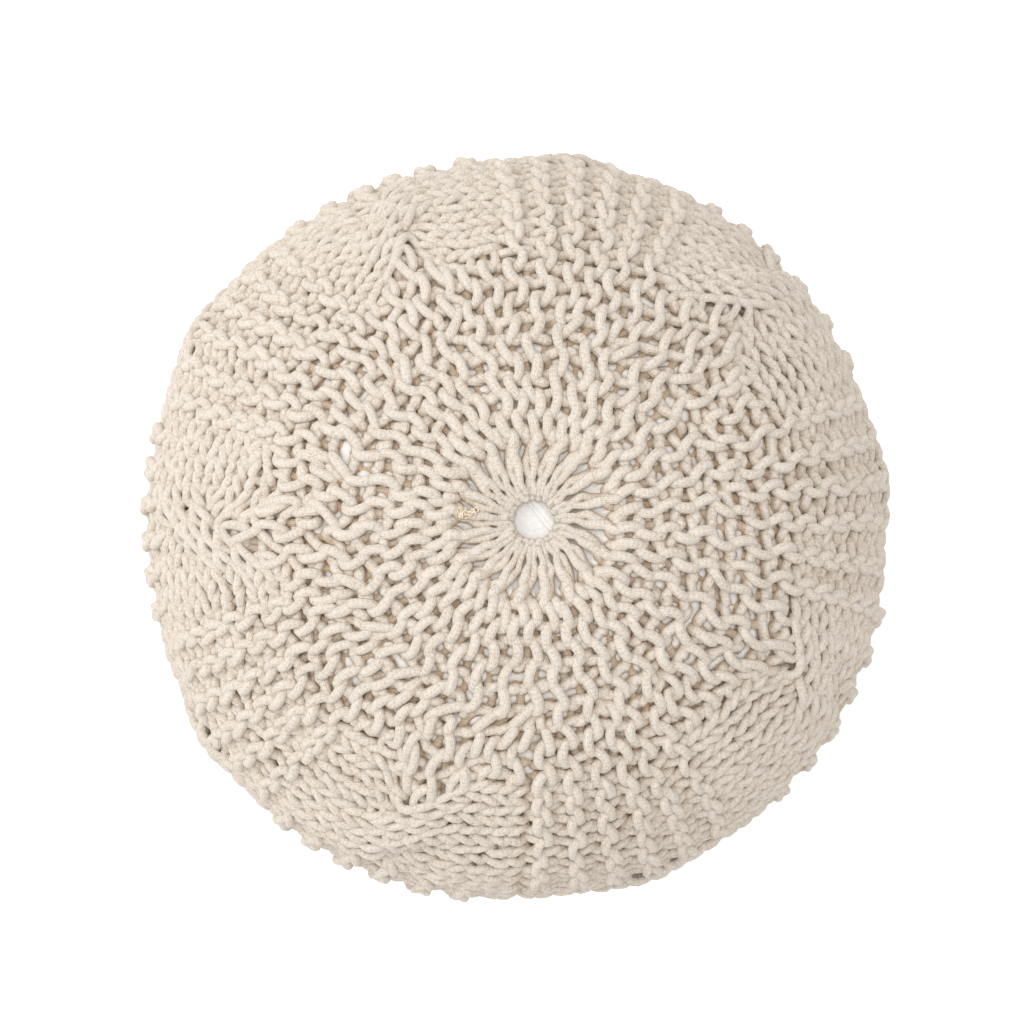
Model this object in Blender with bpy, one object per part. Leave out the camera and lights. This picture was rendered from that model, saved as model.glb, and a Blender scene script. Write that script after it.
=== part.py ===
"""Knitted pouf: a hand-knitted cotton cover, gathered at both poles, over one round filled casing.

Millimetres are used throughout and turned into metres when a mesh is made.
Frame: origin at the middle of the footprint on the floor, +Z up, +X and +Y across.
"""
import math

import bmesh
import bpy
from mathutils import Vector

MM = 0.001

# ---------------------------------------------------------------- sizes (mm)
DIAMETER = 508.0
HEIGHT = 356.0
EQUATOR_Z = 172.0          # the widest level sits a little low, as the filling settles
HALF_RISE = HEIGHT - EQUATOR_Z
ROUNDNESS = 2.3            # exponent of the side profile: 2 is an ellipse, more is boxier
DIMPLE_DEPTH = 7.0         # the gathered top is drawn in around its hole
DIMPLE_REACH = 34.0
HOLE_RADIUS = 13.5         # what the gathering thread leaves open, top and bottom
CORD_LAYER = 17.0          # two crossed cords of about 8 mm, with their slack
CLEARANCE = 0.6            # between the cover and the casing
FLOOR_BLEND = 16.0         # height over which the ribs flatten out towards the floor

# ---------------------------------------------------------------- knitting chart
ROWS = 120                 # rows of knitting, each a meridian from pole to pole
ROWS_PER_REPEAT = 24       # from one cable crossing to the next
FIRST_RIDGE = 7            # rows after a crossing where plain ridges start
LAST_RIDGE = 17
CROSS_ROWS = 3.2           # half length of a crossing
# angle of each crossing of the upper cable band, degrees from +X; the seam is at 269.7
CROSSING_DEG = (44.0, 112.5, 179.5, 245.0, 329.5)

# zone name, start and end as distance from the top pole along the side (mm), ridges of a turn
RIDGE_ZONES = (
    ("gathered", 0.0, 62.0, 20),
    ("middle", 62.0, 140.0, 40),
    ("outer", 140.0, 194.0, 60),
)
# band name, start, end (mm from the top pole along the side), offset in repeats
CABLE_BANDS = (
    ("upper_cable", 194.0, 298.0, 0.0),
    ("belt_cable", 298.0, 404.0, 0.5),
    ("lower_cable", 404.0, 508.0, 0.0),
)
RIDGE_DEPTH = 10.0
CABLE_DEPTH = 13.0
PLAIN_DEPTH = 6.0
DRAW_IN = 24.0             # how far a crossing pulls each edge of its band in


def smooth(edge_low, edge_high, value):
    """0 below the low edge, 1 above the high edge, smooth between."""
    t = min(1.0, max(0.0, (value - edge_low) / (edge_high - edge_low)))
    return t * t * (3.0 - 2.0 * t)


# ---------------------------------------------------------------- side profile
def raw_profile(angle):
    """Point (radius, z) of the uncut side profile; angle 0 is the top pole, pi the bottom."""
    power = 2.0 / ROUNDNESS
    radius = 0.5 * DIAMETER * abs(math.sin(angle)) ** power
    rise = HALF_RISE * math.copysign(abs(math.cos(angle)) ** power, math.cos(angle))
    return radius, EQUATOR_Z + rise


def soft_floor(z):
    """The lower end is pressed flat where it stands."""
    return max(0.0, z)


def make_profile(samples=2400):
    """The profile as (distance from the top pole, radius, z) triples."""
    points = []
    travelled = 0.0
    last = None
    for i in range(samples + 1):
        radius, z = raw_profile(math.pi * i / samples)
        z = soft_floor(z)
        if z > EQUATOR_Z:
            z -= DIMPLE_DEPTH * math.exp(-((radius / DIMPLE_REACH) ** 2))
        if last is not None:
            travelled += math.hypot(radius - last[0], z - last[1])
        points.append((travelled, radius, z))
        last = (radius, z)
    return points


PROFILE = make_profile()
SIDE_LENGTH = PROFILE[-1][0]


def on_profile(distance):
    """(radius, z) at a distance from the top pole along the side."""
    low, high = 0, len(PROFILE) - 1
    while high - low > 1:
        middle = (low + high) // 2
        if PROFILE[middle][0] <= distance:
            low = middle
        else:
            high = middle
    a, b = PROFILE[low], PROFILE[high]
    t = (distance - a[0]) / max(1e-9, b[0] - a[0])
    return a[1] + t * (b[1] - a[1]), a[2] + t * (b[2] - a[2])


def inward(distance):
    """Unit vector (radial, z) pointing into the pouf at a distance from the top pole."""
    r0, z0 = on_profile(max(0.0, distance - 3.0))
    r1, z1 = on_profile(min(SIDE_LENGTH, distance + 3.0))
    length = math.hypot(r1 - r0, z1 - z0)
    return (z1 - z0) / length, -(r1 - r0) / length


# ---------------------------------------------------------------- knitted relief
def row_angle(row):
    """Angle in radians of a row; the rows are a little uneven, as knitted by hand."""
    repeat, part = divmod(row / ROWS_PER_REPEAT, 1.0)
    k = int(repeat)
    turns, index = divmod(k, len(CROSSING_DEG))
    here = CROSSING_DEG[index] + 360.0 * turns
    turns, index = divmod(k + 1, len(CROSSING_DEG))
    after = CROSSING_DEG[index] + 360.0 * turns
    return math.radians(here + part * (after - here))


def ridge_relief(row, count):
    """Depth below the envelope for radial ridges, with count ridges in a turn."""
    wave = math.cos(2.0 * math.pi * count * (row - FIRST_RIDGE) / ROWS)
    return RIDGE_DEPTH * (0.5 - 0.5 * wave)


def band_edges(row, band):
    """Rows from the nearest crossing of a band, its closeness, and the band's edges there."""
    _, start, end, offset = band
    local = (row - offset * ROWS_PER_REPEAT) % ROWS_PER_REPEAT
    if local > 0.5 * ROWS_PER_REPEAT:
        local -= ROWS_PER_REPEAT
    near = math.exp(-((local / 4.5) ** 2))
    return local, near, start + DRAW_IN * near, end - DRAW_IN * near


def cable_relief(row, distance, band):
    """(depth, weight) of a cable band: the weight fades to 0 outside the band's edges."""
    local, near, start, end = band_edges(row, band)
    weight = smooth(start - 9.0, start + 9.0, distance)
    weight *= 1.0 - smooth(end - 9.0, end + 9.0, distance)
    weight *= 1.0 - smooth(FIRST_RIDGE - 1.5, FIRST_RIDGE, abs(local))
    across = min(1.0, max(0.0, (distance - start) / (end - start)))
    swap = smooth(-CROSS_ROWS, CROSS_ROWS, local)
    front = abs(across - 0.75 + 0.5 * swap) / 0.27
    back = abs(across - 0.25 - 0.5 * swap) / 0.27
    front_depth = CABLE_DEPTH * (1.0 - math.cos(min(1.0, front) * 0.5 * math.pi))
    back_depth = CABLE_DEPTH * (1.3 - math.cos(min(1.0, back) * 0.5 * math.pi))
    crossed = min(front_depth, back_depth)
    return PLAIN_DEPTH + smooth(0.05, 0.55, near) * (crossed - PLAIN_DEPTH), weight


def relief(row, distance):
    """Depth of the outer face below the envelope at a row and a distance from the top pole."""
    mirrored = min(distance, SIDE_LENGTH - distance)
    depth = ridge_relief(row, RIDGE_ZONES[-1][3])
    for _, start, end, count in RIDGE_ZONES:
        if start <= mirrored < end:
            depth = ridge_relief(row, count)
    for band in CABLE_BANDS:
        cable_depth, weight = cable_relief(row, distance, band)
        depth += weight * (cable_depth - depth)
    return depth


# ---------------------------------------------------------------- meshes
def mesh_object(name, points, faces):
    """A mesh object from millimetre points, with all faces turned outward."""
    mesh = bpy.data.meshes.new(name)
    mesh.from_pydata([Vector(p) * MM for p in points], [], faces)
    work = bmesh.new()
    work.from_mesh(mesh)
    bmesh.ops.recalc_face_normals(work, faces=work.faces)
    work.to_mesh(mesh)
    work.free()
    obj = bpy.data.objects.new(name, mesh)
    bpy.context.scene.collection.objects.link(obj)
    return obj


def closed_grid(name, loops, top, bottom):
    """A closed body from rings of points, one ring for each level, ended by two pole points."""
    columns = len(loops[0])
    points = [top] + [p for loop in loops for p in loop] + [bottom]
    faces = []
    for c in range(columns):
        faces.append((0, 1 + c, 1 + (c + 1) % columns))
    for level in range(len(loops) - 1):
        base = 1 + level * columns
        for c in range(columns):
            d = (c + 1) % columns
            faces.append((base + c, base + columns + c, base + columns + d, base + d))
    base = 1 + (len(loops) - 1) * columns
    last = len(points) - 1
    for c in range(columns):
        faces.append((last, base + (c + 1) % columns, base + c))
    return mesh_object(name, points, faces)


def ribbed_body():
    """The cover's outer face: ribs and cables raised in its points."""
    steps_near_pole = (9.0, 18.0, 30.0, 44.0, 58.0, 72.0, 92.0, 114.0, 136.0, 158.0, 178.0)
    steps_side = [194.0 + 17.4 * i for i in range(19)]
    steps = list(steps_near_pole) + steps_side
    steps += [SIDE_LENGTH - s for s in reversed(steps_near_pole)]
    loops = []
    for distance in steps:
        radius, z = on_profile(distance)
        dr, dz = inward(distance)
        flat = smooth(0.0, FLOOR_BLEND, z)
        loop = []
        for row in range(ROWS):
            a = row_angle(row)
            depth = relief(row, distance) * flat * min(1.0, distance / 30.0)
            r = radius + dr * depth
            loop.append((r * math.cos(a), r * math.sin(a), max(0.0, z + dz * depth)))
        loops.append(loop)
    return closed_grid("knitted_cover", loops, (0.0, 0.0, on_profile(0.0)[1]), (0.0, 0.0, 0.0))


def offset_ring(offset):
    """Points (radius, z) of the side profile moved inward, from the top down."""
    ring = []
    for i in range(1, 24):
        distance = SIDE_LENGTH * i / 24.0
        radius, z = on_profile(distance)
        dr, dz = inward(distance)
        ring.append((radius + dr * offset, z + dz * offset))
    return ring


def lathe_body(name, offset, neck_radius=0.0, neck_reach=0.0, columns=48):
    """A smooth turned body inside the envelope; a neck carries it out through both poles."""
    ring = offset_ring(offset)
    top = (0.0, on_profile(0.0)[1] - offset)
    bottom = (0.0, offset)
    if neck_radius:
        t = neck_radius / ring[0][0]
        upper = (neck_radius, top[1] + t * (ring[0][1] - top[1]))
        t = neck_radius / ring[-1][0]
        lower = (neck_radius, bottom[1] + t * (ring[-1][1] - bottom[1]))
        top = (0.0, upper[1] + neck_reach)
        bottom = (0.0, lower[1] - neck_reach)
        ring = [(neck_radius, top[1]), upper] + ring + [lower, (neck_radius, bottom[1])]
    angles = [2.0 * math.pi * c / columns for c in range(columns)]
    loops = [[(r * math.cos(a), r * math.sin(a), z) for a in angles] for r, z in ring]
    return closed_grid(name, loops, (0.0, 0.0, top[1]), (0.0, 0.0, bottom[1]))


def cut(body, cutter):
    """Subtract a cutter from a body and leave the result in the body's mesh."""
    step = body.modifiers.new("cut", "BOOLEAN")
    step.operation = "DIFFERENCE"
    step.solver = "EXACT"
    step.object = cutter
    graph = bpy.context.evaluated_depsgraph_get()
    mesh = bpy.data.meshes.new_from_object(body.evaluated_get(graph))
    body.modifiers.remove(step)
    body.data = mesh
    bpy.data.objects.remove(cutter, do_unlink=True)
    return body


def cloth(name, colour, roughness):
    """A plain matt finish."""
    material = bpy.data.materials.new(name)
    material.use_nodes = True
    shader = material.node_tree.nodes["Principled BSDF"]
    shader.inputs["Base Color"].default_value = (*colour, 1.0)
    shader.inputs["Roughness"].default_value = roughness
    return material


def build():
    for old in list(bpy.data.objects):
        bpy.data.objects.remove(old, do_unlink=True)
    cotton = cloth("cotton_cord", (0.76, 0.70, 0.62), 0.9)
    calico = cloth("white_calico", (0.86, 0.85, 0.83), 0.85)

    cover = ribbed_body()
    hollow = lathe_body("hollow_cutter", CORD_LAYER, HOLE_RADIUS, 40.0)
    cut(cover, hollow)
    cover.data.materials.clear()
    cover.data.materials.append(cotton)

    casing = lathe_body("inner_casing", CORD_LAYER + CLEARANCE)
    casing.data.materials.append(calico)


build()
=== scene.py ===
# %% [markdown]
# # A hand-knitted pouf, seen from above
# The pouf is one piece of chunky cotton cord knitting, drawn over a round white casing. The
# cover is knitted sideways: every row runs from the hole at the top, over the side, to the
# underside, and 122 such rows go round the pouf. It could be a plain shape with a knitted
# pattern laid on it, but the photograph shows round loops with gaps between them, so every
# loop is drawn as real cord. This file loads the CAD model, works out the path of every
# row, sweeps cord along it and adds the frayed cut end. Then it presses the casing out
# between the cords and sets up the floor, the light and the camera.

# %% Load the CAD model
import math
from types import SimpleNamespace
import bmesh
import bpy
import numpy as np
from mathutils import Matrix, Vector
from mathutils.kdtree import KDTree


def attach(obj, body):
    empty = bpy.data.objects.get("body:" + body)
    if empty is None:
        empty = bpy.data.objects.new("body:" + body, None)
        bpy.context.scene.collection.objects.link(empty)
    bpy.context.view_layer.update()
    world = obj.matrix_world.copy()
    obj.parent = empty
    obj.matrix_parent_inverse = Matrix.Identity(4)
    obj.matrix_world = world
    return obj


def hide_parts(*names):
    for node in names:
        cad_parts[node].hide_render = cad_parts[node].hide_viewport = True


MM = 0.001

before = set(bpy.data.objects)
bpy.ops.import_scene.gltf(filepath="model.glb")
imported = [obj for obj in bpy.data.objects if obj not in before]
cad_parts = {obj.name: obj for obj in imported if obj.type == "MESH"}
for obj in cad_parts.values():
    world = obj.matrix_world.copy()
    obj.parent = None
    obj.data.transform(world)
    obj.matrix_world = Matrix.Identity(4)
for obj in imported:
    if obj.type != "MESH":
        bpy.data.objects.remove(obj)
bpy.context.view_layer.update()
print("CAD nodes:", sorted(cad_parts))

# %% [markdown]
# ## Helpers for gradual change
# Knitted cloth changes gradually: a loop leans further and further, a lump dies away, and
# neighbours even each other out. Long tables of values could say so, but a ramp, a bell and
# an average say it in one line each.

# %% Ramp, bell and averages
def smooth(low, high, value):
    """0 below low, 1 above high, smooth between."""
    t = np.clip((value - low) / (high - low), 0.0, 1.0)
    return t * t * (3.0 - 2.0 * t)


def bell(value, peak, width):
    """1 at the peak, dying away to nothing a few widths from it."""
    return np.exp(-(((value - peak) / width) ** 2))


def eased(values):
    """Each value averaged with its neighbours, in a run that closes on itself."""
    return 0.5 * values + 0.25 * (np.roll(values, 1, 0) + np.roll(values, -1, 0))


def eased_open(values):
    """Each value averaged with its neighbours, in a run with two ends."""
    edge = np.pad(values, ((1, 1), (0, 0)), mode="edge")
    return 0.5 * values + 0.25 * (edge[:-2] + edge[2:])


print("a bell one width from its peak:", round(float(bell(1.0, 0.0, 1.0)), 2))

# %% [markdown]
# ## The side profile
# A filled pouf is round, a little boxier than an ellipse, and pressed flat where it stands.
# Points could be read off the CAD mesh, but a formula gives them anywhere. The profile is the
# line from the top pole down the side to the bottom pole. Everything is placed by its
# distance along that line, so a stitch keeps its size wherever it lies. Sizes are in mm.

# %% The profile and its slope
RADIUS = 254.0
HEIGHT = 356.0
EQUATOR = 172.0
ROUNDNESS = 2.3
DIMPLE_DEPTH = 7.0
DIMPLE_REACH = 34.0
PROFILE_POINTS = 3000
STEADY_POINTS = 61
TINY = 1e-9


def side_profile():
    """Distance along the side, radius and height of points from the top pole to the bottom."""
    turn = np.linspace(0.0, math.pi, PROFILE_POINTS)
    power = 2.0 / ROUNDNESS
    radius = RADIUS * np.abs(np.sin(turn)) ** power
    rise = np.sign(np.cos(turn)) * np.abs(np.cos(turn)) ** power
    height = np.maximum(0.0, EQUATOR + (HEIGHT - EQUATOR) * rise)
    dimple = DIMPLE_DEPTH * bell(radius, 0.0, DIMPLE_REACH)
    height = np.where(height > EQUATOR, height - dimple, height)
    steps = np.hypot(np.diff(radius), np.diff(height))
    return np.concatenate([[0.0], np.cumsum(steps)]), radius, height


def steadied(values):
    """A running mean that keeps the length of the array."""
    kernel = np.ones(STEADY_POINTS) / STEADY_POINTS
    padded = np.pad(values, STEADY_POINTS // 2, mode="edge")
    return np.convolve(padded, kernel, mode="valid")[: len(values)]


along_side, side_radius, side_height = side_profile()
SIDE = along_side[-1]
# points may coincide on the flat underside, so each distance is made a tiny bit longer
rising = along_side + np.arange(PROFILE_POINTS) * TINY
slope_r = steadied(np.gradient(side_radius, rising))
slope_z = steadied(np.gradient(side_height, rising))
print(f"side length from pole to pole: {SIDE:.1f} mm")


# %% Places on the pouf
def place(distance, angle, height):
    """World points for a distance along the side, an angle round it and a height off it."""
    r = np.interp(distance, along_side, side_radius)
    z = np.interp(distance, along_side, side_height)
    dr = np.interp(distance, along_side, slope_r)
    dz = np.interp(distance, along_side, slope_z)
    size = np.hypot(dr, dz)
    r = r - dz / size * height
    z = z + dr / size * height
    return np.stack([r * np.cos(angle), r * np.sin(angle), z], axis=-1)


def from_hole(distance):
    """Distance to the nearer of the two gathered holes."""
    return np.minimum(distance, SIDE - distance)


print("a point on the belt:", place(0.5 * SIDE, 0.0, 0.0).round(1))

# %% [markdown]
# ## The knitting chart
# Plain garter ridges cover the top. Rows that reach the hole alternate with shorter rows, or
# the top would be too full: of every three ridges one goes on to the hole, one starts 50 mm
# from the pole and one 130 mm from it. Further out, three bands of six stitches carry cables:
# smooth rows with a three-over-three crossing, then a block of ridges, and the next band is
# half a step on. The chart is kept as a knitter would write it, in rows and stitches. Rows
# don't lie evenly in the photograph, so a few of them have their angle given and the rest lie
# between.

# %% Rows and their angles
ROWS = 122
SEAM_ROW = 80
ROW_ANGLES = {0: 44.0, 24: 112.5, 48: 179.5, 72: 245.0, 80: 269.7, 100: 329.5, 122: 404.0}

row_keys = np.array(list(ROW_ANGLES), float)
angle_keys = np.radians(list(ROW_ANGLES.values()))


def row_angle(row):
    """Angle of a row boundary, which may lie before 0 or past the last row."""
    turns = np.floor_divide(row, ROWS)
    return np.interp(row - turns * ROWS, row_keys, angle_keys) + turns * 2.0 * math.pi


print(f"the seam is at {math.degrees(row_angle(SEAM_ROW)):.1f} degrees")

# %% Stitches along a row
# widths of the stitches from the hole to the first cable band
TOP_WIDTHS = (33.5, 26.0, 25.5, 27.5, 27.0, 26.0)
HOLE_EDGE = 16.5
BANDS = 3
BAND_STITCHES = 6
HALF_BAND = BAND_STITCHES // 2
FIRST_BAND = len(TOP_WIDTHS)


def stitch_edges():
    """Distances along the side where one stitch ends and the next starts."""
    top_reach = HOLE_EDGE + sum(TOP_WIDTHS)
    stitches = BANDS * BAND_STITCHES
    band_widths = [(SIDE - 2.0 * top_reach) / stitches] * stitches
    widths = [*TOP_WIDTHS, *band_widths, *reversed(TOP_WIDTHS)]
    return HOLE_EDGE + np.concatenate([[0.0], np.cumsum(widths)])


EDGES = stitch_edges()
STITCHES = len(EDGES) - 1
band_edges = EDGES[[FIRST_BAND + BAND_STITCHES * i for i in range(BANDS + 1)]]
COLUMN = (band_edges[1] - band_edges[0]) / BAND_STITCHES
print(f"{STITCHES} stitches in a full row, band stitch {COLUMN:.1f} mm wide")

# %% Crossings and blocks
# for each band: the row boundaries where it crosses, and where its plain blocks start and end
CROSSINGS = {0: (0, 24, 48, 72, 100), 1: (12, 36, 60, 86, 110), 2: (0, 24, 48, 72, 100)}
BLOCKS = {
    0: ((7, 17), (31, 41), (55, 65), (81, 91), (105, 115)),
    1: ((-5, 5), (19, 29), (43, 53), (67, 77), (95, 105)),
    2: ((7, 17), (31, 41), (55, 65), (81, 91), (105, 115)),
}


def band_of(stitch):
    """Number of the cable band a stitch lies in, or None."""
    band = (stitch - FIRST_BAND) // BAND_STITCHES
    return band if 0 <= band < BANDS else None


def nearest_crossing(boundary, band):
    """Rows from the nearest crossing of a band, negative before it."""
    gaps = [(boundary - c + ROWS / 2) % ROWS - ROWS / 2 for c in CROSSINGS[band]]
    return min(gaps, key=abs)


def in_block(boundary, band):
    """True where a band is worked in plain ridges."""
    return any((boundary - first) % ROWS <= last - first for first, last in BLOCKS[band])


def face_of(boundary, stitch):
    """+1 where the smooth side of a row boundary faces out, -1 where it makes a ridge."""
    band = band_of(stitch)
    if band is not None and not in_block(boundary, band):
        return 1.0
    return -1.0 if (boundary - SEAM_ROW) % 2 else 1.0


faces = np.array([[face_of(b, s) for s in range(STITCHES)] for b in range(ROWS)])
even_out = eased(faces)
ridge_lift = even_out - faces
print("boundaries with ridges:", int((faces < 0).sum()), "of", faces.size)

# %% [markdown]
# ## Where each row is caught by the next
# A loop's foot sits where its row hooks the row before, and its head where the next row hooks
# it. Counting from the seam, rows come in sets of six: two long, two middle and two short. Near
# the hole only the long ones are left, so their feet and heads are spread over the whole set.
# Even spacing would be simpler, but the short rows would then pile up round the hole.

# %% Feet and heads of the rows in each zone
FIRST_SET_ROW = 82
SET_ROWS = 6
SETS = 20
SET_STRETCH = ROWS / (SETS * SET_ROWS)
SHORT_ROWS_FROM = 4
# the first stitch of each row of a set, then the rows' places in the set near the belt, in the
# middle and near the hole
ROW_STARTS = (0, 0, 1, 1, 4, 4)
OUTER_FEET = np.array([0.0, 1.0, 2.0, 3.0, 4.0, 5.0])
OUTER_HEADS = OUTER_FEET + 1.0
MIDDLE_FEET = np.array([-0.5, 1.0, 2.5, 4.0, 5.35, 5.5])
MIDDLE_HEADS = np.array([1.0, 2.5, 4.0, 5.5, 5.5, 5.65])
INNER_FEET = np.array([0.6, 1.1, 3.8, 4.0, 4.0, 4.0])
INNER_HEADS = np.array([1.0, 3.6, 4.0, 4.2, 4.1, 4.1])
FEET = (INNER_FEET, MIDDLE_FEET, OUTER_FEET)
HEADS = (INNER_HEADS, MIDDLE_HEADS, OUTER_HEADS)
# distances over which the places change from those near the hole to the next ones
MIDDLE_RING = (42.0, 60.0)
OUTER_RING = (120.0, 150.0)


def row_place(row):
    """Set number of a row and its place in the set; the two rows left over extend the last."""
    count = (row - FIRST_SET_ROW) % ROWS
    left_over = count - SETS * SET_ROWS
    if left_over >= 0:
        return SETS - 1, SHORT_ROWS_FROM + left_over, True
    return count // SET_ROWS, count % SET_ROWS, False


def caught_at(row, distance, tables):
    """Row coordinate of a row's feet or heads at a distance along the side."""
    set_number, place_in_set, extra = row_place(row)
    inner, middle, outer = (table[place_in_set] for table in tables)
    if extra:
        outer += ROWS - SETS * SET_ROWS
    start = FIRST_SET_ROW + SET_ROWS * set_number
    stretched = FIRST_SET_ROW + SET_ROWS * set_number * SET_STRETCH
    near_hole = stretched + inner * SET_STRETCH
    ring = stretched + middle * SET_STRETCH
    value = near_hole + smooth(*MIDDLE_RING, from_hole(distance)) * (ring - near_hole)
    return value + smooth(*OUTER_RING, from_hole(distance)) * (start + outer - value)


print("row 84 is caught at", [float(caught_at(84, d, FEET).round(1)) for d in (30, 80, 300)])

# %% [markdown]
# ## The pairs round the hole
# The gathering thread pulls the end stitches of the long rows into 20 pairs of cords that run
# straight to the hole. In the photograph one cord of a pair lies over the other for a
# stretch, and both thin out where the thread squeezes them. A few places along a pair are
# given and the rest lie between.

# %% The pair of cords that reaches the hole from each set
BESIDE_HOLE = np.array([
    # distance, row coordinate of the pair, half its spread (mm), share of the full thickness
    (14.0, 3.1, 1.1, 0.68),
    (21.0, 3.1, 1.5, 0.62),
    (26.0, 3.1, 0.8, 0.60),
    (33.0, 2.7, 2.6, 0.80),
    (39.0, 2.1, 1.6, 0.94),
    (45.0, 1.6, 0.7, 0.98),
    (50.0, 1.0, 1.1, 1.00),
    (60.0, 0.7, 1.2, 1.00),
])


def beside_hole(distance):
    """Row coordinate, half spread and thickness share of the pair at a distance."""
    table = BESIDE_HOLE.T
    return [np.interp(from_hole(distance), table[0], column) for column in table[1:]]


def pair_angle(row, distance, radius):
    """Angle of the first or second row of a set where it runs straight to the hole."""
    set_number, place_in_set, _ = row_place(row)
    coordinate, spread, _ = beside_hole(distance)
    stretched = FIRST_SET_ROW + SET_ROWS * set_number * SET_STRETCH
    side = -1.0 if place_in_set == 0 else 1.0
    return row_angle(stretched + coordinate * SET_STRETCH) + side * spread / radius


print("pairs round the hole:", SETS)

# %% [markdown]
# ## Cables
# At a crossing three columns of loops pass over the next three. The crossing pulls the whole
# band narrow and spreads the plain stitches beside it, so band edges wave round the pouf. A
# separate rope could be laid on top for each cable, but in knitting the columns themselves
# change places, so here the stitches are moved.

# %% How far the columns have crossed
# rows from a crossing between which the columns in front and behind change places
FRONT_ROWS = (-1.8, 4.5)
FRONT_HASTE = 0.65
BACK_ROWS = (-2.8, 2.8)
FREE_EDGE = EDGES[1]


def front_step(local):
    """How far the columns in front have crossed, by rows from the crossing."""
    return float(smooth(*FRONT_ROWS, local)) ** FRONT_HASTE


def back_step(local):
    """How far the columns behind have crossed, by rows from the crossing."""
    return float(smooth(*BACK_ROWS, local))


def drawn_in(crossed):
    """How far a band edge moves in, by how far the columns nearest to it have crossed."""
    return HALF_BAND * COLUMN * crossed * (1.0 - 0.5 * crossed**2)


def drawn(distance, boundary):
    """A distance along the side after the crossings have drawn the band edges in."""
    inner = []
    outer = []
    for band in range(BANDS):
        local = nearest_crossing(boundary, band)
        inner.append(drawn_in(min(back_step(local), 1.0 - front_step(local))))
        outer.append(drawn_in(min(front_step(local), 1.0 - back_step(local))))
    knots = [0.0, FREE_EDGE, *band_edges, SIDE - FREE_EDGE, SIDE]
    shift = [
        0.0, 0.0, inner[0], inner[1] - outer[0], inner[2] - outer[1], -outer[2], 0.0, 0.0]
    return distance + np.interp(distance, knots, shift)


print(f"at a crossing a band's edge moves in by {drawn(band_edges[0], 0) - band_edges[0]:.1f} mm")

# %% Where the foot and the head of a stitch lie
CROSS_REACH = 6
CROSS_LIFT = 5.0
CROSS_PEAK = 0.5  # row of the crossing where it stands highest
CROSS_ROWS = 2.4
BACK_SINK = 0.4
SQUEEZE = 0.05
SQUEEZE_ROWS = 2.5
EDGE_REACH = 7.5
EDGE_PEAK = 0.4
EDGE_ROWS = 1.9


def plain_column(stitch, boundary):
    """Middle and half width of a plain stitch, which reaches into the gap beside a crossing."""
    left, right = drawn(EDGES[stitch: stitch + 2], boundary)
    for band in range(BANDS):
        reach = EDGE_REACH * bell(nearest_crossing(boundary, band), EDGE_PEAK, EDGE_ROWS)
        right += reach * (stitch + 1 == FIRST_BAND + BAND_STITCHES * band)
        left -= reach * (stitch == FIRST_BAND + BAND_STITCHES * (band + 1))
    return 0.5 * (left + right), 0.5 * (right - left), 0.0


def column_at(row, stitch, head):
    """Middle, half width and lift of the foot or the head of a stitch."""
    boundary = row + (1 if head else 0)
    band = band_of(stitch)
    if band is None or abs(nearest_crossing(row + 0.5, band)) >= CROSS_REACH:
        return plain_column(stitch, boundary)
    column = (stitch - FIRST_BAND) % BAND_STITCHES
    if nearest_crossing(row + 0.5, band) > 0:
        column = (column + HALF_BAND) % BAND_STITCHES
    local = nearest_crossing(boundary, band)
    tight = 1.0 - SQUEEZE * bell(local, 0.0, SQUEEZE_ROWS)
    lift = CROSS_LIFT * bell(local, CROSS_PEAK, CROSS_ROWS)
    if column >= HALF_BAND:
        offset = 1.5 * HALF_BAND - HALF_BAND * front_step(local)
    else:
        offset = 0.5 * HALF_BAND + HALF_BAND * back_step(local)
        lift = -BACK_SINK * lift
    middle = band_edges[band] + COLUMN * (offset + (column % HALF_BAND - 1) * tight)
    return middle, 0.5 * COLUMN * tight, lift


foot_places = [round(float(column_at(row, 6, False)[0]), 1) for row in (0, 6, 12)]
print("foot of stitch 6 in rows 0, 6 and 12:", foot_places)

# %% [markdown]
# ## Hand knitting is never even
# The tension of the hand changes slowly, so whole patches of rows drift together, and each
# loop also has a will of its own. One kind of random shift would look shaky or wavy, so
# there are two: fields of random numbers that are averaged with their neighbours, and raw
# ones. The seeds are fixed, so the pouf is the same each time.

# %% Fields of drift over the fabric
def drifting(seed, row_rounds=0, stitch_rounds=0):
    """A field of drift, one value for each row boundary and stitch, evened out in rounds."""
    field = np.random.default_rng(seed).normal(0.0, 1.0, (ROWS, STITCHES))
    for _ in range(row_rounds):
        field = eased(field)
    for _ in range(stitch_rounds):
        field = eased_open(field.T).T
    return field / field.std()


drift_along = drifting(11, 3, 1)
drift_round = drifting(12, 2, 1)
own_along = drifting(13)
own_round = drifting(14)
own_height = drifting(15)
print(f"the widest drift of a patch is {np.abs(drift_along).max():.1f} times the usual one")


# %% A field's values at the points of a stitch
def along_row(field, row, stitch):
    """A field's values along a row, at the points of a stitch."""
    return np.interp(stitch.u, np.arange(STITCHES), field[row % ROWS])


def across(field, stitch):
    """A field's values between the foot boundary and the head boundary of a stitch's row."""
    low = along_row(field, stitch.row, stitch)
    return low + stitch.swing * (along_row(field, stitch.row + 1, stitch) - low)


middle_of_six = SimpleNamespace(u=np.array([6.0]), row=0, swing=0.5)
print("drift in the middle of a stitch:", across(drift_along, middle_of_six).round(2))

# %% [markdown]
# ## One loop of cord
# Seen flat, a row of knitting is a wave of round loops. The cord also weaves in and out: a
# foot hides behind the row before, a leg comes forward, the head goes back behind the next
# row. Where the ridge side faces out all of that is turned round. A loop could be modelled
# once and copied, but each one here has another width, lean and neighbour, so three formulas
# give its points: along the side, round the pouf, and in and out.

# %% What is known about a stitch
# points in each stitch of a full row, fewer where the photograph sees it less
SAMPLES = (20,) * 6 + (16,) * 6 + (14,) * 6 + (11,) * 6 + (12,) * 6
RING_GAP = 4.5


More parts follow.
